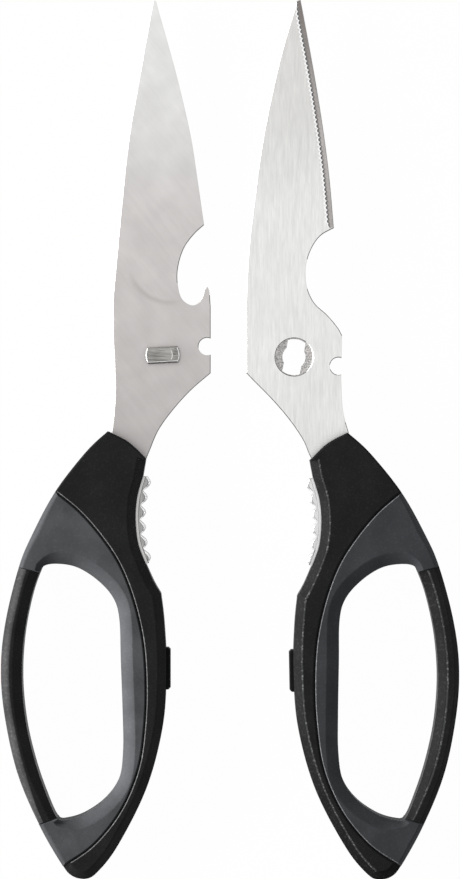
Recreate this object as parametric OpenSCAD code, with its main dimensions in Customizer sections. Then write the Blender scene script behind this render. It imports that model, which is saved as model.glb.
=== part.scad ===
// Take-apart poultry shears: two halves that lie side by side, each with a steel blade,
// a hard handle with a finger loop, a soft grip, a toothed steel jaw and a stop bumper.
// Half A lies with its inner face up and carries the T-headed pivot stud.
// Half B lies with its outer face up and has the keyhole that takes the stud.
// Each half is drawn round its own pivot axis: x to the right, y towards the blade's tip.

/* [Blades] */
// Pivot to the blades' tips
blade_l = 93.2; // [75:0.1:115]
// Thickness of each blade
blade_t = 2.5; // [2:0.1:3.5]
// Gap between the two inner faces when the halves work together
blade_gap = 0.1; // [0.06:0.02:0.2]
// Radius of the small wire notch in each blade
nick_r = 2.3; // [1.5:0.1:3]

/* [Pivot] */
// Diameter of the stud's round root, fixed in blade A
root_d = 6.8; // [5.8:0.1:8]
// Diameter of the stud's neck
neck_d = 6; // [5:0.1:7]
// Running clearance of the neck in the keyhole, on the diameter
neck_clear = 0.1; // [0.06:0.02:0.2]
// Length of the stud's T-shaped head
head_l = 9.1; // [8:0.1:11]
// Width of the stud's head
head_w = 4.3; // [3.6:0.1:4.6]
// Height of the stud's head
head_t = 1.1; // [0.7:0.1:1.4]
// Direction of the head's long side, from the x axis
head_turn = 3; // [-10:1:15]
// Clearance all round the head as it passes the keyhole
head_clear = 0.2; // [0.1:0.05:0.4]
// Direction of the keyhole's slot, from the x axis
slot_turn = 79.5; // [70:0.5:90]
// Width of the ledge's shoulder outside the head, where it turns in the counterbore
bore_clear = 0.45; // [0.3:0.05:0.8]

/* [Handles] */
// Length of a handle, from its top corner to its butt
handle_l = 117.3; // [95:0.1:145]
// Reach of a handle's bow to the side of the pivot axis
handle_w = 42.3; // [36:0.1:52]
// Thickness of a handle
handle_t = 12.5; // [10.5:0.1:16]
// Thickness of the soft skin over the handle's web
skin = 2.4; // [1.6:0.1:3]

/* [Jaws] */
// Thickness of the toothed jaw
jaw_t = 8; // [6:0.1:10]
// Number of teeth
tooth_n = 6; // [4:1:8]
// Depth of the teeth
tooth_depth = 1.5; // [0.8:0.1:2]
// Depth of the tongue that holds the jaw in the handle
tongue_in = 2.2; // [1.5:0.1:2.8]
// Thickness of the tongue
tongue_t = 4; // [2:0.1:5.5]

/* [Stop bumpers] */
// Length of the bumper
bumper_l = 11; // [7:0.1:14]
// Thickness of the bumper
bumper_t = 7; // [4:0.1:9]
// How far the bumper stands out of the handle
bumper_out = 1.1; // [0.6:0.1:2]
// How deep the bumper is let into the handle
bumper_in = 1.2; // [0.8:0.1:1.8]

/* [Layout] */
// Distance between the two pivot axes, side by side
apart_x = 34.5; // [32:0.5:50]
// Distance between the two pivot axes, along the blades
apart_y = -0.5; // [-4:0.5:4]
// How far half B lies turned from the mirror image of half A's handle
turn_b = 1.1; // [-2:0.1:3]

/* [Hidden] */
$fn = 48;
steel = [0.80, 0.80, 0.79];
hard_black = [0.10, 0.10, 0.11];
soft_grey = [0.31, 0.33, 0.35];
far = 70;

// The outlines below are drawn for these three lengths and stretch with the sizes above.
drawn_blade_l = 93.2;
drawn_handle_l = 117.3;
drawn_handle_w = 42.3;
heel_y = 34.3;
handle_top_y = -20;

// A smooth curve through knots, with n steps to each span.
function span(a, b, c, d, t) = b
    + 0.5 * t * (c - a + t * (2 * a - 5 * b + 4 * c - d + t * (3 * b - a - 3 * c + d)));
function curve(k, n = 5) = let (m = len(k) - 1)
    [for (i = [0 : m - 1], s = [0 : n - 1])
        span(k[max(i - 1, 0)], k[i], k[i + 1], k[min(i + 2, m)], s / n), k[m]];
function ring(k, n = 5) = let (m = len(k))
    [for (i = [0 : m - 1], s = [0 : n - 1])
        span(k[(i + m - 1) % m], k[i], k[(i + 1) % m], k[(i + 2) % m], s / n)];
function reverse(p) = [for (i = [len(p) - 1 : -1 : 0]) p[i]];
function without_last(p) = [for (i = [0 : len(p) - 2]) p[i]];
function xs(p) = [for (q = p) q[0]];
function ys(p) = [for (q = p) q[1]];

// A path moved sideways by d, to the left of the way it runs.
function beside(p, d) = let (m = len(p) - 1)
    [for (i = [0 : m]) let (v = p[min(i + 1, m)] - p[max(i - 1, 0)]) p[i] + d * [-v[1], v[0]] / norm(v)];
function beside_ring(p, d) = let (m = len(p))
    [for (i = [0 : m - 1]) let (v = p[(i + 1) % m] - p[(i + m - 1) % m])
        p[i] + d * [-v[1], v[0]] / norm(v)];

// Stretches: a blade beyond its heel, and a handle below its top corner.
function to_tip(k) = [for (q = k) [q[0], q[1] <= heel_y ? q[1]
    : heel_y + (q[1] - heel_y) * (blade_l - heel_y) / (drawn_blade_l - heel_y)]];
function on_handle(k) = [for (q = k) [q[0] * handle_w / drawn_handle_w,
    handle_top_y + (q[1] - handle_top_y) * handle_l / drawn_handle_l]];

// Heights: each handle lies on its side, and the blades' inner faces meet at its middle.
mid_z = handle_t / 2;
blade_a_z = mid_z - blade_gap / 2 - blade_t;
blade_b_z = mid_z + blade_gap / 2;
bore_deep = head_t + blade_gap;
bore_d = head_l + 2 * bore_clear;
web_t = handle_t - 2 * skin;

// Blade A: the cutting edge on the left, the spine with the bottle opener on the right.
a_edge = to_tip([[-13.0, 11], [-12.9, 16], [-11.9, 27], [-10.9, 38], [-8.9, 56.5], [-5.9, 74.1],
    [-2.5, 93.2]]);
a_spine = to_tip([[-1.8, 93.2], [2.6, 77.6], [5.3, 67], [7.6, 56.5], [9.2, 46], [10.9, 34.3]]);
a_opener = [[10.9, 34.3], [8.2, 31.8], [5.6, 28.2], [4.1, 23.5], [3.9, 19.2], [5, 14.9], [7.8, 13.1],
    [10, 14.4], [11.1, 17.4]];
a_hook = [[11.7, 18.1], [12.3, 16.6], [12.6, 12.5]];
a_neck_right = [[12.6, -4.7], [7.4, -9.2], [2.6, -14.5], [-1.1, -19.7], [-3.4, -25], [-5.2, -29.5]];
a_neck_left = [[-14.6, -27], [-13.3, -19.9], [-12.7, -14.5], [-12.4, -9.2], [-12.6, -2.6], [-13, 5]];
a_nick = [11.7, 2.3];

// Blade B: the spine on the left, the serrated edge with the bone notch on the right.
b_spine = to_tip([[-12.6, 10], [-12.6, 15], [-12.1, 25.5], [-11.1, 36], [-8.2, 57], [-3.7, 78.1],
    [0.9, 93.7]]);
b_edge = to_tip([[1.8, 93.7], [4.7, 78.1], [6.5, 67.6], [8.1, 57], [9.4, 46.5], [10.5, 33.9]]);
b_notch = [[10.5, 33.9], [6.9, 31.8], [4.4, 28.1], [3.1, 23.5], [3.4, 18.4], [5.3, 14.2], [8.6, 11.1],
    [11.4, 7.8], [12.6, 5.6]];
b_neck_right = [[12.4, -6], [12.7, -12.6], [13.4, -16.6], [14.5, -20.5], [15.8, -27]];
b_neck_left = [[6.4, -29.5], [4.2, -26], [2.4, -21.8], [-1.1, -16.6], [-5.6, -11.3], [-10.8, -6],
    [-12.6, -4.1]];
b_nick = [11.7, -2.4];

// The tang, hidden in the handle, with the two holes that lock it there.
tang_left = curve(on_handle([[-14.2, -23.5], [-15.4, -34], [-14.6, -45], [-10.8, -54.5], [-6.4, -63.5],
    [-4.4, -72], [-3.3, -84]]));
tang_right = curve(on_handle([[-1.3, -84], [-1.7, -72], [-3.4, -63.5], [-8.4, -54.5], [-10.6, -45],
    [-10.1, -37], [-7, -29.5]]));
tang_holes = on_handle([[-12.6, -36], [-12.6, -44]]);
tang_hole_d = 2.4;

// Handle A's outline, anticlockwise from its top left corner.
outer_side = curve(on_handle([[-14.3, -20], [-20, -25.4], [-28.1, -35.9], [-34.1, -47.1], [-37.6, -55.6],
    [-41, -69.4], [-42.3, -81.5], [-41.4, -94], [-38, -109.4], [-32.2, -123.1], [-26.1, -133.7],
    [-23.5, -136.5], [-20.7, -137.3]]));
inner_side = curve(on_handle([[-20.7, -137.3], [-17.6, -136], [-11.8, -128.7], [-4.1, -113.3], [0.1, -97.1],
    [1, -82], [0.5, -70.2], [-0.4, -62.5]]));
knuckle = curve(on_handle([[-0.4, -62.5], [-2.2, -59.4], [-4.3, -54.8]]), 3);
recess = curve(on_handle([[-4.3, -54.8], [-6.3, -49.4], [-7, -43.2], [-6.6, -37.4], [-5.1, -31.8]]));
end_block = curve(on_handle([[-4.3, -27.1], [-8.9, -22.8], [-14.3, -20]]), 4);
handle_outline = concat(without_last(outer_side), without_last(inner_side), without_last(knuckle), recess,
    without_last(end_block));

// The finger loop, anticlockwise from the top of its left side.
loop_outline = ring(on_handle([[-32.2, -57.1], [-34.3, -63.5], [-36.2, -73.5], [-36.8, -84.8],
    [-35.7, -96.4], [-33.2, -107], [-30.2, -115.6], [-27.6, -121.2], [-25.3, -121.8], [-20.3, -120.2],
    [-14.8, -116.2], [-11.3, -110.8], [-10.3, -103.5], [-10.4, -94], [-10.9, -80], [-11.3, -69],
    [-13, -63.4], [-17.2, -58.8], [-22.4, -55.6], [-27.4, -54.7], [-30.9, -55.2]]), 4);;

// Where the soft grip meets the hard handle, from the outer side round to the butt.
grip_line = curve(on_handle([[-28, -35.9], [-21.8, -41], [-16.1, -47.5], [-11.4, -54.6], [-7.8, -63.5],
    [-5.3, -74], [-4.4, -85], [-4.7, -96.5], [-6.4, -108.2], [-11, -119.2], [-18.1, -128.1],
    [-26.1, -133.7]]));
bow_top = on_handle([[-47.5, -53.2], [-37.6, -55.6], [-32.3, -56.9], [-24, -59]]);
bow_bottom = on_handle([[-19, -118.6], [-26.9, -121.1], [-32.2, -122.8], [-48, -127.8]]);

bumper_y = on_handle([[0, -82.2]])[0][1];
bumper_x = lookup(bumper_y, [for (q = reverse(inner_side)) [q[1], q[0]]]);

// The whole model's middle, so that the frame's origin is the middle of its box's bottom.
mirror_at = [-0.7, -0.1];
function turned(q) = [q[0] * cos(turn_b) - q[1] * sin(turn_b), q[0] * sin(turn_b) + q[1] * cos(turn_b)];
outer_b = [for (q = outer_side) [apart_x, apart_y] + turned(mirror_at + [-q[0], q[1]])];
left_x = min(xs(outer_side));
right_x = max(xs(outer_b));
tip_y = max(max(ys(a_edge)), apart_y + max(ys(b_edge)));
butt_y = min(min(ys(outer_side)), min(ys(outer_b)));
place_a = [-(left_x + right_x) / 2, -(tip_y + butt_y) / 2, 0];
place_b = place_a + [apart_x, apart_y, 0];

module at_a() { translate(place_a) children(); }
module at_b() { translate(place_b) children(); }
module mirrored() { rotate(turn_b) translate(mirror_at) mirror([1, 0, 0]) children(); }
module slab(z, t) { translate([0, 0, z]) linear_extrude(t) children(); }
module mid_slab(t) { slab(mid_z - t / 2, t) children(); }

module tang_shape() {
    difference() {
        polygon(concat(tang_left, tang_right));
        for (p = tang_holes) translate(p) circle(d = tang_hole_d);
    }
}

module blade_a_shape() {
    difference() {
        polygon(concat(without_last(curve(a_neck_left)), curve(a_edge),
            without_last(curve(a_spine)), curve(a_opener), curve(a_hook, 4), curve(a_neck_right)));
        translate(a_nick) circle(r = nick_r);
    }
}

module blade_b_shape() {
    difference() {
        polygon(concat(curve(b_neck_left), curve(b_spine), without_last(curve(b_edge)),
            curve(b_notch), curve(b_neck_right)));
        translate(b_nick) circle(r = nick_r);
    }
}

// Each blade with its tang, before the pivot's holes.
module blank_a() {
    slab(blade_a_z, blade_t) blade_a_shape();
    slab(blade_a_z, blade_t) tang_shape();
}

module blank_b() {
    slab(blade_b_z, blade_t) blade_b_shape();
    slab(blade_b_z, blade_t) mirrored() tang_shape();
}

module keyhole() {
    slot_l = head_l + 2 * head_clear;
    slot_w = head_w + 2 * head_clear;
    circle(d = neck_d + neck_clear);
    rotate(slot_turn) intersection() {
        square([slot_l, slot_w], center = true);
        circle(d = slot_l);
    }
}

module blade_a() {
    color(steel) difference() {
        union() blank_a();
        slab(blade_a_z - 1, blade_t + 2) circle(d = root_d);
    }
}

module blade_b() {
    color(steel) difference() {
        union() blank_b();
        slab(blade_b_z - 1, blade_t + 2) keyhole();
        slab(blade_b_z + blade_t - bore_deep, bore_deep + 1) circle(d = bore_d);
    }
}

// A bar of the head's width with round ends, as long as d.
module stud_bar(d) {
    rotate(head_turn) intersection() {
        square([d, head_w], center = true);
        circle(d = d);
    }
}

// The stud's root fills its hole in blade A. Its neck turns in the keyhole's centre on two
// round flanks and ends in the T-shaped head.
module pivot_stud() {
    root_top = blade_a_z + blade_t;
    head_z = blade_b_z + blade_t - head_t;
    color(steel) union() {
        slab(blade_a_z, blade_t) circle(d = root_d);
        slab(root_top, head_z - root_top) stud_bar(neck_d);
        slab(head_z, head_t) stud_bar(head_l);
    }
}

module handle_shape() {
    difference() {
        polygon(handle_outline);
        polygon(loop_outline);
    }
}

module grip_side() { polygon(concat(grip_line, [[-far, -far * 2.5], [-far, 0]])); }

module bow_side() { polygon(concat(bow_top, bow_bottom)); }

// The hard web under the grip joins the bow to the rest of the handle.
module web_shape() {
    difference() {
        polygon(concat(beside(outer_side, skin), reverse([for (q = grip_line) q + [1, 0]])));
        polygon(beside_ring(loop_outline, -skin));
    }
}

module web_slab() {
    mid_slab(web_t) intersection() {
        web_shape();
        handle_shape();
    }
}

module tongue_shape(spare) {
    keep = [for (q = recess) if (abs(q[1] - recess_mid_y) < recess_l / 2 - 2) q];
    polygon(concat([for (q = keep) q + [spare, 0]], reverse([for (q = keep) q - [tongue_in, 0]])));
}

module bumper_shape() {
    edge = bumper_out / 2;
    half = bumper_l / 2;
    translate([bumper_x, bumper_y]) polygon([[-bumper_in, -half], [bumper_out - edge, -half],
        [bumper_out, edge - half], [bumper_out, half - edge], [bumper_out - edge, half],
        [-bumper_in, half]]);
}

module handle_core() {
    difference() {
        union() {
            slab(0, handle_t) difference() {
                handle_shape();
                grip_side();
            }
            slab(0, handle_t) intersection() {
                handle_shape();
                bow_side();
            }
            web_slab();
        }
        mid_slab(tongue_t) tongue_shape(0.5);
        mid_slab(bumper_t) bumper_shape();
    }
}

module soft_grip() {
    color(soft_grey) difference() {
        slab(0, handle_t) difference() {
            intersection() {
                handle_shape();
                grip_side();
            }
            bow_side();
        }
        web_slab();
    }
}

// The jaw's teeth follow a shallow arc between the end block and the knuckle.
recess_l = max(ys(recess)) - min(ys(recess));
recess_mid_y = (max(ys(recess)) + min(ys(recess))) / 2;
recess_mid_x = min(xs(recess));
tip_in_middle = 2.5;
tip_at_ends = 1.9;
tooth_pitch = recess_l / tooth_n;
tooth_steps = 8;
function tooth_x(s) = let (u = 2 * s / (tooth_n * tooth_steps) - 1)
    recess_mid_x + tip_in_middle + tip_at_ends * u * u
        - tooth_depth * (1 - abs(sin(180 * s / tooth_steps)));

module toothed_jaw() {
    teeth = [for (s = [0 : tooth_n * tooth_steps])
        [tooth_x(s), recess_mid_y + recess_l / 2 - s * tooth_pitch / tooth_steps]];
    color(steel) {
        mid_slab(jaw_t) polygon(concat(teeth, recess));
        mid_slab(tongue_t) tongue_shape(0.3);
    }
}

module stop_bumper() { color(hard_black) mid_slab(bumper_t) bumper_shape(); }

module handle_core_a() {
    color(hard_black) difference() {
        handle_core();
        blank_a();
    }
}

module handle_core_b() {
    color(hard_black) difference() {
        mirrored() handle_core();
        blank_b();
    }
}

at_a() blade_a();
at_a() pivot_stud();
at_a() handle_core_a();
at_a() soft_grip();  // soft_grip_a
at_a() toothed_jaw();  // toothed_jaw_a
at_a() stop_bumper();  // stop_bumper_a
at_b() blade_b();
at_b() handle_core_b();
at_b() mirrored() soft_grip();  // soft_grip_b
at_b() mirrored() toothed_jaw();  // toothed_jaw_b
at_b() mirrored() stop_bumper();  // stop_bumper_b
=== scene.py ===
"""Take-apart poultry shears: the shapes and finishes that show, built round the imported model.

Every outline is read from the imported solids, so each piece lies exactly where its solid lies.
A piece is drawn as rings of corners, each ring a copy of the outline moved inwards by its own
amount at each side, from the bottom face up to the top face.
"""

import math

import bmesh
import bpy
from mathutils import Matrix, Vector
from mathutils.geometry import intersect_line_line_2d


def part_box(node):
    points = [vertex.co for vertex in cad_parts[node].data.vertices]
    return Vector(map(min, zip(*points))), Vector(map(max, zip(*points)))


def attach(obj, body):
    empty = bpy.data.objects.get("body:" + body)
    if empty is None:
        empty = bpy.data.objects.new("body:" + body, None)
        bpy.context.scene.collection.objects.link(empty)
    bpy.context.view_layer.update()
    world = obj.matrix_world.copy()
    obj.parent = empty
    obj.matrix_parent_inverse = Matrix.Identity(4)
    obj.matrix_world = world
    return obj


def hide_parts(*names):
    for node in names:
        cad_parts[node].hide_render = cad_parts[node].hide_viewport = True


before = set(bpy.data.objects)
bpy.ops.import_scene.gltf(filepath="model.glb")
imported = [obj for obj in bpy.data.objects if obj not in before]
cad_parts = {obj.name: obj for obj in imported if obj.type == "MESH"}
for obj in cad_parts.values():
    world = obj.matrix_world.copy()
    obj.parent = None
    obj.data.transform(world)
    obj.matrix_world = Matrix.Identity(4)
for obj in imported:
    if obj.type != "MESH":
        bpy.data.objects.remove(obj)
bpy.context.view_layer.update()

MM = 0.001
HANDLE_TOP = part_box("handle_core_a")[1].z
MIDDLE = HANDLE_TOP / 2


# ---------------------------------------------------------------- outlines from the solids

def area(loop):
    return sum(a.x * b.y - b.x * a.y for a, b in zip(loop, loop[1:] + loop[:1])) / 2


def level_loops(node, level, up=True):
    """The borders of a node's level faces at one height, anticlockwise, the longest first."""
    bm = bmesh.new()
    bm.from_mesh(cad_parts[node].data)
    bmesh.ops.remove_doubles(bm, verts=bm.verts, dist=2e-6)
    side = 1 if up else -1
    level_faces = {
        f for f in bm.faces
        if f.normal.z * side > 0.9 and abs(f.calc_center_median().z - level) < 0.02 * MM
    }
    unused = {e for e in bm.edges if len(level_faces.intersection(e.link_faces)) == 1}
    loops = []
    while unused:
        edge = unused.pop()
        first, at = edge.verts
        loop = [first.co.to_2d()]
        while at != first:
            loop.append(at.co.to_2d())
            edge = next(e for e in at.link_edges if e in unused)
            unused.discard(edge)
            at = edge.other_vert(at)
        loops.append(loop if area(loop) > 0 else loop[::-1])
    bm.free()
    return sorted(loops, key=lambda loop: -abs(area(loop)))


def turn_at(before, here, after):
    return (here - before).angle_signed(after - here, 0)


def split_at_corners(loop, corner=math.radians(27)):
    """The sides of a loop, each from one corner to the next, both corners included."""
    count = len(loop)
    corners = [i for i in range(count)
               if abs(turn_at(loop[i - 1], loop[i], loop[(i + 1) % count])) > corner]
    sides = []
    for start, end in zip(corners, corners[1:] + [corners[0] + count]):
        sides.append([loop[i % count] for i in range(start, end + 1)])
    return sides


def without_short_sides(sides, short, stays_whole):
    """Joins each short side to the next one, or to the one before it where the next must stay whole."""
    out = list(sides)
    n = 0
    while n < len(out):
        after = (n + 1) % len(out)
        if side_lengths(out[n])[-1] > short:
            n += 1
            continue
        if stays_whole(out[after]):
            out[n - 1] = out[n - 1] + out[n][1:]
        else:
            out[after] = out[n] + out[after][1:]
        del out[n]
    return out


def side_lengths(side):
    total = [0.0]
    for a, b in zip(side, side[1:]):
        total.append(total[-1] + (b - a).length)
    return total


def smooth_side(side, step):
    """The side drawn again as a smooth curve with corners at even steps, inside the side's own box."""
    lengths = side_lengths(side)
    box = [(min(values), max(values)) for values in zip(*side)]
    count = max(1, round(lengths[-1] / step))
    out = []
    at = 0
    for i in range(count + 1):
        want = lengths[-1] * i / count
        while at < len(side) - 2 and lengths[at + 1] < want:
            at += 1
        t = (want - lengths[at]) / (lengths[at + 1] - lengths[at])
        a, b, c, d = (side[max(at - 1, 0)], side[at], side[at + 1], side[min(at + 2, len(side) - 1)])
        point = b + 0.5 * t * ((c - a) + t * ((2 * a - 5 * b + 4 * c - d) + t * (3 * (b - c) + d - a)))
        out.append(Vector([min(max(value, low), high) for value, (low, high) in zip(point, box)]))
    return out


def moved_in(side, amounts):
    """The side with each corner moved to the left of the way it runs."""
    last = len(side) - 1
    out = []
    for i, point in enumerate(side):
        along = (side[min(i + 1, last)] - side[max(i - 1, 0)]).normalized()
        out.append(point + Vector((-along.y, along.x)) * amounts[i])
    return out


def trim_corner(before, after, reach=60):
    """Cuts two moved sides back to where they cross, near the corner that they share."""
    for total in range(2 * reach):
        for k in range(max(0, total - reach), min(total, reach) + 1):
            i = len(before) - 2 - k
            j = total - k
            if i < 0 or j > len(after) - 2:
                continue
            cross = intersect_line_line_2d(before[i], before[i + 1], after[j], after[j + 1])
            if cross:
                cross = Vector(cross)
                before[i + 1:] = [cross] * (len(before) - i - 1)
                after[:j + 1] = [cross] * (j + 1)
                return


# ---------------------------------------------------------------- edge shapes
# Each edge shape gives how far a side has moved in, for a share of the edge's depth: 0 at the
# start of the side wall, 1 at the face.

def chamfer(width, deep=1.0, soften=0.12):
    """A flat slope, with a narrow, flatter band at its top. deep is its share of the depth."""
    def amount(share, at, length):
        down = max(0.0, (share - 1 + deep) / deep)
        return width * (down + (soften if share > 0.999 else 0))
    return amount


def rounded(width, full=0.62):
    """A slope that rounds over to the face. full is the straight part's share of the width."""
    def amount(share, at, length):
        return width * (full * share + (1 - full) * share ** 4)
    return amount


def narrower(shape, least, reach, starts=True, ends=True):
    """The shape drawn in towards the start of its side, its end, or both."""
    def amount(share, at, length):
        t = min(1.0, at / reach if starts else 1.0, (length - at) / reach if ends else 1.0)
        return shape(share, at, length) * (least + (1 - least) * t * t * (3 - 2 * t))
    return amount


def stepped(**amounts):
    """Amounts in millimetres by share in hundredths, such as s25=0.2."""
    def amount(share, at, length):
        return amounts.get(f"s{round(share * 100)}", 0) * MM
    return amount


def still(share, at, length):
    return 0


def tooth_wall(share, at, length):
    """Full width at a tooth's tip and nothing in the valleys beside it."""
    return 0.62 * MM * share * max(0.0, math.sin(math.pi * at / length)) ** 0.5


def eased(width):
    def amount(share, at, length):
        return width if share > 0.999 else 0
    return amount


def serrated(width, pitch, depth, border):
    """A ground bevel with a hollow at each pitch that cuts into the blade's face."""
    def amount(share, at, length):
        ends = max(0.0, min(1, at / pitch, (length - at) / (3 * pitch)))
        hollow = abs(math.sin(math.pi * at / pitch)) ** 0.6
        face = border * ends if share > 0.999 else 0
        return width * share + depth * hollow * share ** 2 * ends + face
    return amount


# ---------------------------------------------------------------- solids from rings

def ring_points(sides, shapes, share):
    moved = []
    for side, shape in zip(sides, shapes):
        along = side_lengths(side)
        moved.append(moved_in(side, [shape(share, at, along[-1]) for at in along]))
    if share > 0:
        for i in range(len(moved)):
            trim_corner(moved[i - 1], moved[i])
    return [point for side in moved for point in side]


def ring_piece(name, sides, low, high, top, bottom, holes=(), slot_of=None):
    """A closed solid between two heights. top and bottom are (depth, shares, edge shapes).

    holes are (rim loop, hole loop, floor height, loop of the hole below the floor).
    slot_of gives a top edge band's material slot from its side, its share and the way it faces.
    """
    depth, shares, shapes = bottom
    levels = [(low + depth * (1 - share), ring_points(sides, shapes, share), 0) for share in shares[::-1]]
    depth, shares, shapes = top
    levels += [(high - depth * (1 - share), ring_points(sides, shapes, share), share) for share in shares]
    bm = bmesh.new()
    spot = bm.verts.layers.int.new("spot")
    height, points, _ = levels[0]
    corners = [bm.verts.new((p.x, p.y, height)) for p in points]
    for i, corner in enumerate(corners):
        corner[spot] = i
    edges = [bm.edges.new((corners[i - 1], corners[i])) for i in range(len(corners))]
    owner = [n for n, side in enumerate(sides) for _ in side]
    for height, points, share in levels[1:]:
        made = bmesh.ops.extrude_edge_only(bm, edges=edges)["geom"]
        for corner in made:
            if isinstance(corner, bmesh.types.BMVert):
                corner.co = (*points[corner[spot]], height)
        edges = [e for e in made if isinstance(e, bmesh.types.BMEdge)]
        if slot_of and share > 0:
            for edge in edges:
                start, end = sorted(v[spot] for v in edge.verts)
                if end - start > 1:
                    start, end = end, start
                along = (points[end] - points[start]).normalized()
                for face in edge.link_faces:
                    face.material_index = slot_of(owner[start], share, Vector((along.y, -along.x)))
    for rim_loop, loop, floor, inner in holes:
        rim = add_loop(bm, rim_loop, high, spot)
        wall = move_loop(bm, rim, loop, high - 0.12 * MM, spot)
        wall = move_loop(bm, wall, loop, floor, spot)
        low_rim = add_loop(bm, inner, floor, spot)
        faces = bmesh.ops.triangle_fill(bm, use_beauty=True, use_dissolve=False, edges=wall + low_rim)
        for face in faces["geom"]:
            if isinstance(face, bmesh.types.BMFace):
                face.material_index = 2
        move_loop(bm, low_rim, inner, low, spot)
        for edge in rim:
            middle = sum((v.co for v in edge.verts), Vector()).to_2d() / 2
            centre = sum(loop, Vector((0, 0))) / len(loop)
            for face in edge.link_faces:
                face.material_index = slot_of(-1, 1.0, (centre - middle).normalized())
    bmesh.ops.remove_doubles(bm, verts=bm.verts, dist=1e-6)
    walls = set(bm.faces)
    if holes:
        for height in (low, high):
            rim = [e for e in bm.edges if e.is_boundary
                   and all(abs(v.co.z - height) < 1e-6 for v in e.verts)]
            bmesh.ops.triangle_fill(bm, use_beauty=True, use_dissolve=False, edges=rim)
    else:
        bmesh.ops.holes_fill(bm, edges=bm.edges, sides=0)
    for face in set(bm.faces) - walls:
        face.material_index = 0
    bmesh.ops.dissolve_degenerate(bm, dist=1e-7, edges=bm.edges)
    bmesh.ops.recalc_face_normals(bm, faces=bm.faces)
    return finish_mesh(name, bm)


def add_loop(bm, loop, height, spot):
    corners = [bm.verts.new((p.x, p.y, height)) for p in loop]
    for i, corner in enumerate(corners):
        corner[spot] = i
    return [bm.edges.new((corners[i - 1], corners[i])) for i in range(len(corners))]


def move_loop(bm, rim, points, height, spot):
    """Draws the rim on to another height and set of points."""
    made = bmesh.ops.extrude_edge_only(bm, edges=rim)["geom"]
    for corner in made:
        if isinstance(corner, bmesh.types.BMVert):
            corner.co = (*points[corner[spot]], height)
    return [e for e in made if isinstance(e, bmesh.types.BMEdge)]


def finish_mesh(name, bm, sharp=math.radians(38)):
    mesh = bpy.data.meshes.new(name)
    bm.to_mesh(mesh)
    bm.free()
    mesh.shade_smooth()
    mesh.set_sharp_from_angle(angle=sharp)
    piece = bpy.data.objects.new(name, mesh)
    bpy.context.scene.collection.objects.link(piece)
    even = piece.modifiers.new("even shading", "WEIGHTED_NORMAL")
    even.keep_sharp = True
    return piece


def dress(piece, body, node, slot, *materials):
    for material in materials:
        piece.data.materials.append(material)
    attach(piece, body)
    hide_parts(node)
    return piece


# ---------------------------------------------------------------- shader groups

def new_group(name, inputs, outputs):
    group = bpy.data.node_groups.new(name, "ShaderNodeTree")
    for label, kind, value in inputs:
        socket = group.interface.new_socket(label, in_out="INPUT", socket_type=kind)
        socket.default_value = value
    for label, kind in outputs:
        group.interface.new_socket(label, in_out="OUTPUT", socket_type=kind)
    return group, group.nodes.new("NodeGroupInput"), group.nodes.new("NodeGroupOutput")


def add(tree, kind, links=(), **values):
    """A node with its settings, values and incoming links."""
    node = tree.nodes.new("ShaderNode" + kind)
    for key, value in values.items():
        if hasattr(node, key):
            setattr(node, key, value)
        else:
            node.inputs[key.replace("_", " ")].default_value = value
    for socket, source in dict(links).items():
        tree.links.new(source, node.inputs[socket])
    return node


def stretched_noise(tree, source, stretch, size, detail=3.0):
    placed = add(tree, "Mapping", {"Vector": source}, Scale=stretch)
    return add(tree, "TexNoise", {"Vector": placed.outputs["Vector"]}, Scale=size, Detail=detail)


def ramp(tree, source, low, high):
    """A value stretched so that low becomes 0 and high becomes 1."""
    node = add(tree, "MapRange", {"Value": source})
    node.inputs["From Min"].default_value = low
    node.inputs["From Max"].default_value = high
    return node.outputs["Result"]


def brushing_group():
    """Fine parallel grinding lines along Y, and broad cloudy patches."""
    group, given, out = new_group(
        "brushing",
        [("Line Size", "NodeSocketFloat", 1.0), ("Patch Size", "NodeSocketFloat", 60.0),
         ("Turn", "NodeSocketFloat", 0.0)],
        [("Lines", "NodeSocketFloat"), ("Patches", "NodeSocketFloat")])
    place = add(group, "VectorRotate", {"Vector": add(group, "TexCoord").outputs["Object"],
                                        "Angle": given.outputs["Turn"]}).outputs["Vector"]
    fine = stretched_noise(group, place, (3800, 320, 3800), 1.0, 2.0)
    coarse = stretched_noise(group, place, (1500, 110, 1500), 1.0, 3.0)
    for noise in (fine, coarse):
        group.links.new(given.outputs["Line Size"], noise.inputs["Scale"])
    both = add(group, "Math", {0: fine.outputs["Fac"], 1: coarse.outputs["Fac"]}, operation="ADD")
    half = add(group, "Math", {0: both.outputs[0]}, operation="MULTIPLY")
    half.inputs[1].default_value = 0.5
    patches = stretched_noise(group, place, (1, 1, 1), 60.0, 4.0)
    group.links.new(given.outputs["Patch Size"], patches.inputs["Scale"])
    group.links.new(half.outputs[0], out.inputs["Lines"])
    group.links.new(patches.outputs["Fac"], out.inputs["Patches"])
    return group


def grain_group():
    """The fine pebbled texture of moulded plastic, as a height and a mask of its peaks."""
    group, given, out = new_group(
        "moulded grain", [("Size", "NodeSocketFloat", 2600.0)],
        [("Height", "NodeSocketFloat"), ("Peaks", "NodeSocketFloat")])
    place = add(group, "TexCoord").outputs["Object"]
    noise = add(group, "TexNoise", {"Vector": place, "Scale": given.outputs["Size"]}, Detail=2.0)
    peaks = ramp(group, noise.outputs["Fac"], 0.52, 0.72)
    group.links.new(noise.outputs["Fac"], out.inputs["Height"])
    group.links.new(peaks, out.inputs["Peaks"])
    return group


BRUSHING = brushing_group()
GRAIN = grain_group()


def new_material(name):
    material = bpy.data.materials.new(name)
    material.use_nodes = True
    tree = material.node_tree
    tree.nodes.clear()
    shader = tree.nodes.new("ShaderNodeBsdfPrincipled")
    out = tree.nodes.new("ShaderNodeOutputMaterial")
    tree.links.new(shader.outputs["BSDF"], out.inputs["Surface"])
    return material, tree, shader


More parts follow.
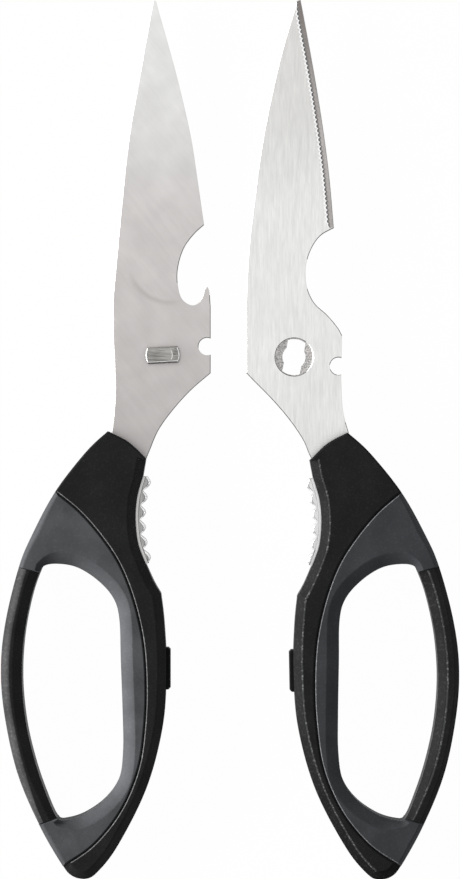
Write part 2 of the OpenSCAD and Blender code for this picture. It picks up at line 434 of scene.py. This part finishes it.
def use_group(tree, group, **values):
    node = tree.nodes.new("ShaderNodeGroup")
    node.node_tree = group
    for key, value in values.items():
        node.inputs[key.replace("_", " ")].default_value = value
    return node


def mix(tree, factor, low, high):
    """low and high are colours or sockets."""
    node = add(tree, "Mix", data_type="RGBA")
    tree.links.new(factor, node.inputs["Factor"])
    for socket, value in ((node.inputs[6], low), (node.inputs[7], high)):
        if isinstance(value, bpy.types.NodeSocket):
            tree.links.new(value, socket)
        else:
            socket.default_value = (*value, 1)
    return node.outputs[2]


def grey(value, tint=(1, 1, 1)):
    return tuple(value * t for t in tint)


def steel(name, dark, light, rough=(0.30, 0.42), bump=0.10, line_size=1.0, patch_size=60.0,
          lines_share=0.7, tint=(1.0, 0.985, 0.975), turn=0.0, stops=None, marks=None):
    """Ground steel. stops are (y, colour) down the blade, a painted gradient of reflected light, and marks darkens
    a worn place.
    """
    material, tree, shader = new_material(name)
    finish = use_group(tree, BRUSHING, Line_Size=line_size, Patch_Size=patch_size, Turn=turn)
    lines = ramp(tree, finish.outputs["Lines"], 0.35, 0.65)
    patches = ramp(tree, finish.outputs["Patches"], 0.35, 0.65)
    blend = add(tree, "Mix", {"A": patches, "B": lines}, data_type="FLOAT")
    blend.inputs["Factor"].default_value = lines_share
    colour = mix(tree, blend.outputs["Result"], grey(dark, tint), grey(light, tint))
    if stops:
        colour = times(tree, colour, down_the_blade(tree, stops))
    if marks:
        colour = times(tree, colour, mix(tree, marks(tree), grey(1.0), grey(0.86, (1.0, 0.99, 0.97))))
    tree.links.new(colour, shader.inputs["Base Color"])
    roughness = add(tree, "MapRange", {"Value": blend.outputs["Result"]})
    roughness.inputs["To Min"].default_value, roughness.inputs["To Max"].default_value = rough
    tree.links.new(roughness.outputs["Result"], shader.inputs["Roughness"])
    shader.inputs["Metallic"].default_value = 1
    relief = add(tree, "Bump", {"Height": finish.outputs["Lines"]}, Strength=bump, Distance=0.02 * MM)
    tree.links.new(relief.outputs["Normal"], shader.inputs["Normal"])
    return material


def times(tree, colour, other):
    node = add(tree, "Mix", data_type="RGBA", blend_type="MULTIPLY")
    node.inputs["Factor"].default_value = 1
    tree.links.new(colour, node.inputs[6])
    tree.links.new(other, node.inputs[7])
    return node.outputs[2]


def down_the_blade(tree, stops):
    place = add(tree, "TexCoord").outputs["Object"]
    height = add(tree, "SeparateXYZ", {"Vector": place}).outputs["Y"]
    low, high = stops[0][0], stops[-1][0]
    shades = add(tree, "ValToRGB", {"Fac": ramp(tree, height, low, high)})
    band = shades.color_ramp
    while len(band.elements) < len(stops):
        band.elements.new(0.5)
    for element, (y, colour) in zip(band.elements, stops):
        element.position = (y - low) / (high - low)
        element.color = (*colour, 1)
    return shades.outputs["Color"]


def worn_arc(tree):
    """A mask for the faint arc that the other half has rubbed into the blade."""
    place = add(tree, "TexCoord").outputs["Object"]
    flat = add(tree, "VectorMath", {0: place}, operation="MULTIPLY")
    flat.inputs[1].default_value = (1, 1, 0)
    from_middle = add(tree, "VectorMath", {0: flat.outputs[0]}, operation="SUBTRACT")
    from_middle.inputs[1].default_value = (-15.7 * MM, 47.1 * MM, 0)
    length = add(tree, "VectorMath", {0: from_middle.outputs[0]}, operation="LENGTH").outputs["Value"]
    inside = ramp(tree, length, 10.2 * MM, 11.0 * MM)
    outside = ramp(tree, length, 12.2 * MM, 11.1 * MM)
    parts = add(tree, "SeparateXYZ", {"Vector": from_middle.outputs[0]})
    below = ramp(tree, parts.outputs["Y"], -2.0 * MM, -6.0 * MM)
    left = ramp(tree, parts.outputs["X"], 3.0 * MM, -1.0 * MM)
    facing = add(tree, "SeparateXYZ", {"Vector": add(tree, "TexCoord").outputs["Normal"]}).outputs["Z"]
    mask = ramp(tree, facing, 0.2, 0.8)
    for other in (inside, outside, below, left):
        mask = add(tree, "Math", {0: mask, 1: other}, operation="MULTIPLY").outputs[0]
    return mask


def plastic(name, base, peak, rough, specular, grain=2600.0, bump=0.25, depth=0.04, tint=(1, 1, 1.02),
            cloud=(0.88, 1.12), side_light=()):
    """Moulded plastic or rubber with a pebbled texture and slightly uneven shade.

    The (side, factor) pairs paint the slopes that face that side, -1 for left, paler by the factor: painted light
    from that side.
    """
    material, tree, shader = new_material(name)
    texture = use_group(tree, GRAIN, Size=grain)
    colour = mix(tree, texture.outputs["Peaks"], grey(base, tint), grey(peak, tint))
    place = add(tree, "TexCoord").outputs["Object"]
    clouds = stretched_noise(tree, place, (1, 1, 1), 130.0, 3.0)
    shade = mix(tree, ramp(tree, clouds.outputs["Fac"], 0.35, 0.65), grey(cloud[0]), grey(cloud[1]))
    colour = times(tree, colour, shade)
    facing = add(tree, "SeparateXYZ", {"Vector": add(tree, "TexCoord").outputs["Normal"]}).outputs["X"]
    # Painted light: slopes that face the given side are painted paler.
    for side, factor in side_light:
        slope = ramp(tree, facing, 0.18 * side, 0.55 * side)
        colour = times(tree, colour, mix(tree, slope, grey(1.0), grey(factor)))
    tree.links.new(colour, shader.inputs["Base Color"])
    shader.inputs["Roughness"].default_value = rough
    shader.inputs["Specular IOR Level"].default_value = specular
    relief = add(tree, "Bump", {"Height": texture.outputs["Height"]}, Strength=bump, Distance=depth * MM)
    tree.links.new(relief.outputs["Normal"], shader.inputs["Normal"])
    return material


# ---------------------------------------------------------------- materials

# The stops paint a gradient of reflected light along each blade: the plain blade darker towards the handle, and the
# bevel darker at the tip.
TIP, HEEL, STUD, NECK = 115 * MM, 56 * MM, 22 * MM, 0 * MM
satin_steel = steel(
    "satin steel", 0.91, 0.99, lines_share=0.45, line_size=0.5, patch_size=150.0, tint=(1, 1, 1),
    turn=math.radians(-38), marks=worn_arc,
    stops=[(NECK, (0.500, 0.477, 0.469)), (STUD, (0.542, 0.518, 0.509)), (40 * MM, (0.580, 0.556, 0.547)),
           (HEEL, (0.600, 0.576, 0.567)), (66 * MM, (0.632, 0.612, 0.603)), (85 * MM, (0.725, 0.72, 0.71)),
           (TIP, (0.785, 0.785, 0.775))])
brushed_steel = steel(
    "brushed steel", 0.69, 0.81, lines_share=0.85, tint=(1.0, 1.0, 0.985),
    stops=[(NECK, (0.955, 0.955, 0.955)), (STUD, (1, 1, 1)), (62 * MM, (1, 1, 1)), (80 * MM, (0.90, 0.895, 0.89)),
           (TIP, (0.90, 0.885, 0.88))])
bevel_steel = steel("ground bevel steel", 0.42, 0.64, rough=(0.35, 0.5), tint=(1.0, 0.95, 0.92),
                    stops=[(HEEL, (0.84, 0.84, 0.84)), (80 * MM, (0.98, 0.98, 0.98)), (TIP, (0.42, 0.39, 0.37))])
# Painted shade: a darker bevel steel for the bevel's outer edge line and a band near its top.
bevel_shade = steel("bevel steel, painted shade", 0.19, 0.36, rough=(0.35, 0.5), tint=(1.0, 0.95, 0.92))
# The counterbore's ledge: a real milled texture, painted darker as the shade in the recess.
milled_steel_in_shade = steel("milled steel, painted recess shade", 0.20, 0.66, rough=(0.35, 0.5), lines_share=0.15, patch_size=2400.0,
                     tint=(1.0, 0.97, 0.95))
edge_steel = steel("shaded edge steel", 0.05, 0.13, rough=(0.4, 0.5))
# A painted highlight: the near-white steel on the jaw's tooth walls and along the serration's border.
highlight_steel = steel("painted highlight steel", 0.92, 0.97, rough=(0.25, 0.35), tint=(1, 1, 1))
stud_steel = steel("stud steel", 0.16, 0.44, rough=(0.3, 0.45), tint=(1.0, 0.98, 0.93), lines_share=0.9,
                   turn=math.radians(93))
# A painted highlight on the stud head's edges.
stud_highlight = steel("stud steel, painted edge highlight", 0.50, 0.95, rough=(0.3, 0.4), patch_size=1500.0, lines_share=0.2)
# One jaw steel in two shades: half B's insert is painted lighter for how light falls on it.
jaw_steel_a = steel("jaw steel", 0.24, 0.44, rough=(0.3, 0.45), lines_share=0.8, tint=(1, 0.99, 0.98))
jaw_steel_lit_b = steel("jaw steel, painted lighter", 0.50, 0.78, rough=(0.3, 0.45), lines_share=0.8, tint=(1, 1, 1))
lip_steel = steel("jaw lip steel", 0.42, 0.62, rough=(0.3, 0.45), lines_share=0.8, tint=(1, 0.99, 0.98))
jaw_shade_line = steel("jaw steel, painted shade line", 0.05, 0.12, rough=(0.4, 0.5))
# The black's right-facing slopes are painted paler: painted light on the side away from the lamp.
hard_black = plastic("hard black plastic", 0.0168, 0.0260, 0.42, 0.03, side_light=[(1, 1.9)])
# Half A's outer bow: the black with its left-facing slopes painted much paler, painted light from the left, and a
# coarser grain with more uneven tone.
side_lit_bow = plastic("black bow, painted side light", 0.0155, 0.0270, 0.42, 0.06, grain=1500.0, cloud=(0.75, 1.25),
                     side_light=[(-1, 3.1)])
# Half B's band and bow slopes: a darker copy of the black, painted shade for how light falls on them, with a
# coarser grain and more uneven tone.
slope_black_b = plastic("black slopes of half B, painted shade", 0.0085, 0.0240, 0.42, 0.04, grain=1500.0, cloud=(0.75, 1.25))
# A painted highlight: the pale black on the narrow ridge band at the top of left-facing slopes.
ridge_highlight_black = plastic("black ridge, painted highlight", 0.034, 0.21, 0.45, 0.2, grain=1500.0)
bumper_black = plastic("bumper rubber", 0.008, 0.012, 0.55, 0.05)
# The two grips are one grey rubber painted in two shades for how light falls on each: half B's is painted darker.
GRIP_A = {"base": 0.076, "peak": 0.090, "rough": 0.62, "specular": 0.10, "grain": 1800.0, "tint": (0.97, 1.0, 1.06)}
GRIP_B = {"base": 0.049, "peak": 0.060, "rough": 0.62, "specular": 0.10, "grain": 1800.0, "tint": (0.95, 1.0, 1.08)}
grip_grey_a = plastic("soft grip grey", **GRIP_A, cloud=(0.84, 1.16))
grip_grey_b = plastic("soft grip grey, painted darker", **GRIP_B)
# Painted light: copies of the grip rubber whose left-facing slopes (half A) or right-facing slopes (half B) are
# painted paler.
side_lit_grip_a = plastic("grip grey, painted side light", **GRIP_A, side_light=[(-1, 1.6)])
side_lit_grip_b = plastic("grip grey of half B, painted side light", **GRIP_B, side_light=[(1, 1.7)])
# A painted highlight: the pale band on the lit wall of the groove between grip and band.
groove_highlight = plastic("grip groove, painted highlight", 0.16, 0.36, 0.6, 0.15, grain=1900.0)


# ---------------------------------------------------------------- handles

FINE = 0.7 * MM
HANDLE_SHARES = (0.0, 0.2, 0.4, 0.6, 0.8, 0.92, 1.0)
EDGE_DEPTH = 1.7 * MM


def near(points, others, reach=0.05 * MM):
    """Whether every one of the points lies on the other loop."""
    pairs = list(zip(others, others[1:] + others[:1]))

    def gap(point):
        best = 1.0
        for a, b in pairs:
            along = b - a
            t = max(0.0, min(1.0, (point - a).dot(along) / along.length_squared))
            best = min(best, (a + along * t - point).length)
        return best

    return all(gap(p) < reach for p in points)


def handle_piece(name, loop, shape_of_side, slots_of_side):
    """slots_of_side gives the material slots of a side's slope and of the ridge at its top."""
    sides = [smooth_side(side, FINE) for side in split_at_corners(loop)]
    shapes = [shape_of_side(side) for side in sides]
    slots = [slots_of_side(side) for side in sides]
    edge = (EDGE_DEPTH, HANDLE_SHARES, shapes)
    # The ridge slot is used only on ridge bands that face left, where light from the left would catch them.
    return ring_piece(name, sides, 0.0, HANDLE_TOP, edge, edge,
                      slot_of=lambda n, share, outward: slots[n][share > 0.95 and outward.x < -0.45])


def make_handle(letter, body, painted_slope_black, grip_material, side_lit_grip):
    """The hard band, the bow and the soft grip of one half, each a piece of its own."""
    core, grip = f"handle_core_{letter}", f"soft_grip_{letter}"
    band_loop, bow_loop = level_loops(core, HANDLE_TOP)[:2]
    grip_loop = level_loops(grip, HANDLE_TOP)[0]
    is_a = letter == "a"
    grip_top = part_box(grip)[1].y
    bow_outside = min(p.x for p in bow_loop) if is_a else max(p.x for p in bow_loop)

    def is_end_block(side):
        return side[0].y > grip_top - 3 * MM and side[-1].y > grip_top - 3 * MM

    def is_bow_outer(side):
        return min(abs(p.x - bow_outside) for p in side) < 0.5 * MM

    def is_loop_side(side):
        return len(side) > 60

    def band_side(side):
        if near(side, grip_loop):
            return chamfer(0.5 * MM, 0.3)
        if is_end_block(side):
            return chamfer(0.45 * MM, 0.2)
        return chamfer(2.2 * MM)

    # In the band and bow, slot 1 is the painted ridge highlight, slot 2 the slope copy with painted light or shade,
    # and slot 3 the painted groove highlight.
    def band_slots(side):
        if near(side, grip_loop):
            return (0, 3) if is_a else (0, 0)
        return (0, 0) if is_a or is_end_block(side) else (2, 1)

    def bow_side(side):
        if near(side, grip_loop):
            return chamfer(0.2 * MM, 0.2)
        rises = side[-1].y > side[0].y
        if not is_bow_outer(side):
            return narrower(chamfer(2.4 * MM), 0.72, 16 * MM, rises, not rises)
        return narrower(rounded(2.4 * MM), 0.6, 16 * MM, rises, not rises) if is_a else chamfer(1.2 * MM, 0.6)

    def bow_slots(side):
        if near(side, grip_loop):
            return 0, 0
        if is_bow_outer(side):
            return (2, 2) if is_a else (0, 0)
        return (0, 0) if is_a else (2, 1)

    def grip_side(side):
        if near(side, band_loop):
            return chamfer(0.35 * MM, 0.3)
        if near(side, bow_loop):
            return chamfer(0.25 * MM, 0.2)
        if is_loop_side(side):
            return narrower(rounded(3.4 * MM, 0.85), 0.42, 6 * MM)
        return narrower(chamfer(1.4 * MM, 0.6, soften=0.3), 0.7, 14 * MM)

    # In the grip, slot 1 is the painted groove highlight and slot 2 the copy with painted side light.
    def grip_slots(side):
        if near(side, band_loop):
            return (0, 0) if is_a else (0, 1)
        return (2, 2) if is_loop_side(side) or not is_a else (0, 0)

    for name, loop, shape_of_side, slots_of_side in (("band", band_loop, band_side, band_slots),
                                                     ("bow", bow_loop, bow_side, bow_slots)):
        piece = handle_piece(f"handle_{name}_{letter}", loop, shape_of_side, slots_of_side)
        dress(piece, body, core, "hard_plastic", hard_black, ridge_highlight_black, painted_slope_black,
              groove_highlight)
    piece = handle_piece(f"grip_{letter}", grip_loop, grip_side, grip_slots)
    dress(piece, body, grip, "soft_rubber", grip_material, groove_highlight, side_lit_grip)


def make_bumper(letter, body):
    node = f"stop_bumper_{letter}"
    low, high = (corner.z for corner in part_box(node))
    sides = split_at_corners(level_loops(node, high)[0])
    edge = (0.4 * MM, (0.0, 0.5, 1.0), [chamfer(0.25 * MM)] * len(sides))
    dress(ring_piece(node, sides, low, high, edge, edge), body, node, "bumper_rubber", bumper_black)


make_handle("a", "half_a", side_lit_bow, grip_grey_a, side_lit_grip_a)
make_handle("b", "half_b", slope_black_b, grip_grey_b, side_lit_grip_b)
make_bumper("a", "half_a")
make_bumper("b", "half_b")


# ---------------------------------------------------------------- jaws

def make_jaw(letter, body, steel_material, lip_material):
    """The toothed insert: tooth walls painted bright as a reflection, a painted shade line at their top, and a pale
    strip and a painted shade line by the recess.
    """
    node, core = f"toothed_jaw_{letter}", f"handle_core_{letter}"
    low, high = (corner.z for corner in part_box(node))
    core_loop = level_loops(core, HANDLE_TOP)[0]
    raw = without_short_sides(split_at_corners(level_loops(node, high)[0]), 1.2 * MM,
                              lambda side: near(side[1:-1], core_loop))
    sides = [smooth_side(side, 0.2 * MM) for side in raw]
    seat = next(n for n, side in enumerate(sides) if near(side[1:-1], core_loop))
    shapes = [still if n == seat else tooth_wall for n in range(len(sides))]
    top = (0.6 * MM, (0.0, 0.5, 0.8, 1.0), shapes)
    bottom = (0.2 * MM, (0.0, 1.0), [eased(0.1 * MM)] * len(sides))
    # Tooth walls take the painted highlight steel, and the band at their top the painted shade line.
    piece = ring_piece(node, sides, low, high - 0.15 * MM, top, bottom,
                       slot_of=lambda side, share, outward: 2 if share > 0.95 and side != seat else 1)
    dress(piece, body, node, "jaw_steel", steel_material, highlight_steel, jaw_shade_line)
    edge = sides[seat]
    lip_sides = [edge, moved_in(edge, [0.85 * MM] * len(edge))[::-1]]
    lip_sides = [lip_sides[0], [edge[-1], lip_sides[1][0]], lip_sides[1], [lip_sides[1][-1], edge[0]]]
    lip_top = (0.3 * MM, (0.0, 1.0), [still, still, eased(0.2 * MM), still])
    lip_bottom = (0.1 * MM, (0.0, 1.0), [still] * 4)
    # The lip's inner side carries the painted shade line by the recess.
    lip = ring_piece(f"jaw_lip_{letter}", lip_sides, high - 0.7 * MM, high, lip_top, lip_bottom,
                     slot_of=lambda side, share, outward: 1 if side == 2 else 0)
    dress(lip, body, node, "jaw_steel", lip_material, jaw_shade_line)


make_jaw("a", "half_a", jaw_steel_a, lip_steel)
make_jaw("b", "half_b", jaw_steel_lit_b, jaw_steel_lit_b)


# ---------------------------------------------------------------- blades and stud

BLADE_SHARES = (0.0, 0.14, 0.45, 0.66, 0.8, 0.92, 1.0)
TIP_WIDTH = 1.5 * MM
SERRATION_PITCH = 1.2 * MM


def is_cutting_edge(side, outward):
    """The long side that leads to the tip, on the outward side of the blade."""
    tip, heel = max(side, key=lambda p: p.y), min(side, key=lambda p: p.y)
    return tip.y > 0.11 and tip.y - heel.y > 0.05 and (heel.x - tip.x) * outward > 0


def make_blade_a():
    low, high = (corner.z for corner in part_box("blade_a"))
    loop = level_loops("blade_a", high)[0]
    raw = without_short_sides(split_at_corners(loop), TIP_WIDTH, lambda side: is_cutting_edge(side, -1))
    sides = [smooth_side(side, 0.6 * MM) for side in raw]
    top = (0.12 * MM, (0.0, 1.0), [eased(0.18 * MM)] * len(sides))
    under = [chamfer(1.5 * MM, soften=0) if is_cutting_edge(side, -1) else eased(0.12 * MM) for side in sides]
    # Edges facing down or right take the dark steel: painted shade.
    piece = ring_piece("plain_blade", sides, low, high, top, (high - low - 0.3 * MM, BLADE_SHARES, under),
                       slot_of=lambda side, share, outward: outward.y < -0.25 or outward.x > 0.8 > 8 * outward.y)
    dress(piece, "half_a", "blade_a", "blade_steel", satin_steel, edge_steel)


def make_blade_b():
    low, high = (corner.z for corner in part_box("blade_b"))
    loop, counterbore = level_loops("blade_b", high)[:2]
    keyhole = level_loops("blade_b", low, up=False)[1]
    sides, top_shapes, cutting = [], [], []
    for side in without_short_sides(split_at_corners(loop), TIP_WIDTH, lambda side: is_cutting_edge(side, 1)):
        cutting.append(is_cutting_edge(side, 1))
        if cutting[-1]:
            sides.append(smooth_side(side, SERRATION_PITCH / 8))
            top_shapes.append(serrated(1.25 * MM, SERRATION_PITCH, 0.68 * MM, 0.26 * MM))
        else:
            sides.append(smooth_side(side, 0.6 * MM))
            top_shapes.append(eased(0.18 * MM))

    # Painted light on the serrated blade: a painted highlight along the serration border, a painted shade band
    # below it that shows as dark dots in the hollows, painted shade at the bevel's outer edge and near its top, and
    # painted shade on edges facing down or right and on the counterbore rim except where it faces left.
    def slot_of(side, share, outward):
        if side < 0:
            return 3 if outward.x > -0.6 else 0
        if cutting[side]:
            return 4 if share > 0.95 else 3 if share > 0.85 else 1 if 0.2 < share < 0.7 else 5
        return 3 if outward.y < -0.25 or (outward.y > 0.25 and outward.x > 0.3) else 0

    middle = sum(counterbore, Vector((0, 0))) / len(counterbore)
    rim = [p + (p - middle).normalized() * 0.14 * MM for p in counterbore]
    floor = ledge_height("blade_b", low, high)
    piece = ring_piece(
        "serrated_blade", sides, low, high,
        (high - low - 0.2 * MM, BLADE_SHARES, top_shapes),
        (0.15 * MM, (0.0, 1.0), [eased(0.1 * MM)] * len(sides)),
        holes=[(rim, counterbore, floor, keyhole)], slot_of=slot_of)
    dress(piece, "half_b", "blade_b", "blade_steel", brushed_steel, bevel_steel, milled_steel_in_shade, edge_steel,
          highlight_steel, bevel_shade)


def ledge_height(node, low, high):
    """The height of a node's level faces that lie well inside its thickness."""
    bm = bmesh.new()
    bm.from_mesh(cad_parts[node].data)
    heights = [f.calc_center_median().z for f in bm.faces if f.normal.z > 0.9]
    bm.free()
    return max(z for z in heights if low + 0.1 * MM < z < high - 0.1 * MM)


def make_stud():
    """The T-shaped head on its flat-sided neck, with one end dressed to a slope."""
    low, high = (corner.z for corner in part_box("pivot_stud"))
    blade_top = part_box("blade_a")[1].z
    loop = level_loops("pivot_stud", high)[0]
    sides = [smooth_side(side, 0.4 * MM) for side in split_at_corners(loop)]
    middle = sum(loop, Vector((0, 0))) / len(loop)

    def faces(side, x, y):
        return (sum(side, Vector((0, 0))) / len(side) - middle).normalized().dot(Vector((x, y))) > 0.7

    def edge_of(side):
        if faces(side, 1, 0):
            return stepped(s25=0.12, s50=0.35, s75=1.2, s90=1.9, s100=2.1)
        if faces(side, 0, -1):
            return stepped(s25=0.28, s50=0.32, s75=0.36, s90=0.42, s100=0.55)
        if faces(side, -1, 0):
            return stepped(s25=0.06, s50=0.12, s75=0.18, s90=0.24, s100=0.34)
        return stepped(s50=0.05, s75=0.1, s90=0.2, s100=0.3)

    # The lowest band on the right, lower and left sides is painted shadow in the dark steel, and the bands above
    # are painted highlight; on the right end the facet's foot and top are painted highlight.
    def slot_of(n, share, outward):
        if faces(sides[n], 1, 0):
            return 2 if share < 0.3 else 1 if share < 0.6 or share > 0.95 else 0
        if faces(sides[n], 0, -1) or faces(sides[n], -1, 0):
            return 2 if share < 0.3 else 1
        return 0

    top = (0.8 * MM, (0.0, 0.25, 0.5, 0.75, 0.9, 1.0), [edge_of(side) for side in sides])
    bottom = (0.1 * MM, (0.0, 1.0), [eased(0.08 * MM)] * len(sides))
    piece = ring_piece("stud_head", sides, blade_top + 1.0 * MM, high, top, bottom, slot_of=slot_of)
    dress(piece, "half_a", "pivot_stud", "stud_steel", stud_steel, stud_highlight, edge_steel)
    # The neck is all in the dark steel: painted shade under the head.
    neck = ring_piece("stud_neck", [smooth_side([middle + (p - middle) * 0.6 for p in side], 0.4 * MM)
                                    for side in sides],
                      blade_top, blade_top + 1.1 * MM, bottom, bottom)
    dress(neck, "half_a", "pivot_stud", "stud_steel", edge_steel)
    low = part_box("pivot_stud")[0].z
    root_loop = level_loops("pivot_stud", low, up=False)[0]
    ease = (0.1 * MM, (0.0, 1.0), [eased(0.1 * MM)])
    root = ring_piece("stud_root", [smooth_side(root_loop + root_loop[:1], 0.5 * MM)], low - 0.05 * MM,
                      low + 1.0 * MM, ease, ease)
    dress(root, "half_a", "pivot_stud", "stud_steel", stud_steel)


make_blade_a()
make_blade_b()
make_stud()


# ---------------------------------------------------------------- stage, light and camera

def make_camera(height=1.2):
    data = bpy.data.cameras.new("camera")
    data.sensor_fit = "VERTICAL"
    data.sensor_height = 24
    view = 231.05 * MM
    data.lens = data.sensor_height * (height - MIDDLE) / view
    camera = bpy.data.objects.new("camera", data)
    camera.location = (0, 0, height)
    bpy.context.scene.collection.objects.link(camera)
    bpy.context.scene.camera = camera


def looked_at(tree):
    """1 for rays that come straight from the camera or through a reflection or clear piece."""
    path = add(tree, "LightPath")
    mask = path.outputs["Is Camera Ray"]
    for kind in ("Is Glossy Ray", "Is Transmission Ray"):
        mask = add(tree, "Math", {0: mask, 1: path.outputs[kind]}, operation="MAXIMUM").outputs[0]
    return mask


def make_floor():
    bm = bmesh.new()
    bmesh.ops.create_grid(bm, x_segments=1, y_segments=1, size=3)
    mesh = bpy.data.meshes.new("floor")
    bm.to_mesh(mesh)
    bm.free()
    floor = bpy.data.objects.new("floor", mesh)
    floor.location.z = -0.05 * MM
    bpy.context.scene.collection.objects.link(floor)
    material = bpy.data.materials.new("white table")
    material.use_nodes = True
    tree = material.node_tree
    tree.nodes.clear()
    paint = add(tree, "BsdfDiffuse", Color=(0.9, 0.9, 0.9, 1))
    glow = add(tree, "Emission", Color=(1, 1, 1, 1), Strength=1.0)
    share = add(tree, "Math", {0: looked_at(tree)}, operation="MULTIPLY")
    share.inputs[1].default_value = 0.985
    both = add(tree, "MixShader", {"Fac": share.outputs[0], 1: paint.outputs[0], 2: glow.outputs[0]})
    out = tree.nodes.new("ShaderNodeOutputMaterial")
    tree.links.new(both.outputs[0], out.inputs["Surface"])
    mesh.materials.append(material)


def make_light():
    scene = bpy.context.scene
    world = bpy.data.worlds.new("studio")
    scene.world = world
    world.use_nodes = True
    tree = world.node_tree
    tree.nodes.clear()
    soft = add(tree, "Background", Color=(1, 1, 1, 1), Strength=0.27)
    white = add(tree, "Background", Color=(1, 1, 1, 1), Strength=1.0)
    both = add(tree, "MixShader", {"Fac": looked_at(tree), 1: soft.outputs[0], 2: white.outputs[0]})
    out = tree.nodes.new("ShaderNodeOutputWorld")
    tree.links.new(both.outputs[0], out.inputs["Surface"])
    add_lamp("left softbox", (-0.94, 0.1, 0.34), (0, 0, 0), (1.0, 0.35), 20.5)


def add_lamp(name, place, target, size, power):
    data = bpy.data.lights.new(name, "AREA")
    data.shape = "RECTANGLE"
    data.size, data.size_y = size
    data.energy = power
    lamp = bpy.data.objects.new(name, data)
    lamp.location = place
    lamp.rotation_euler = (Vector(target) - Vector(place)).to_track_quat("-Z", "Y").to_euler()
    bpy.context.scene.collection.objects.link(lamp)


make_camera()
make_floor()
make_light()
bpy.context.scene.view_settings.view_transform = "Standard"
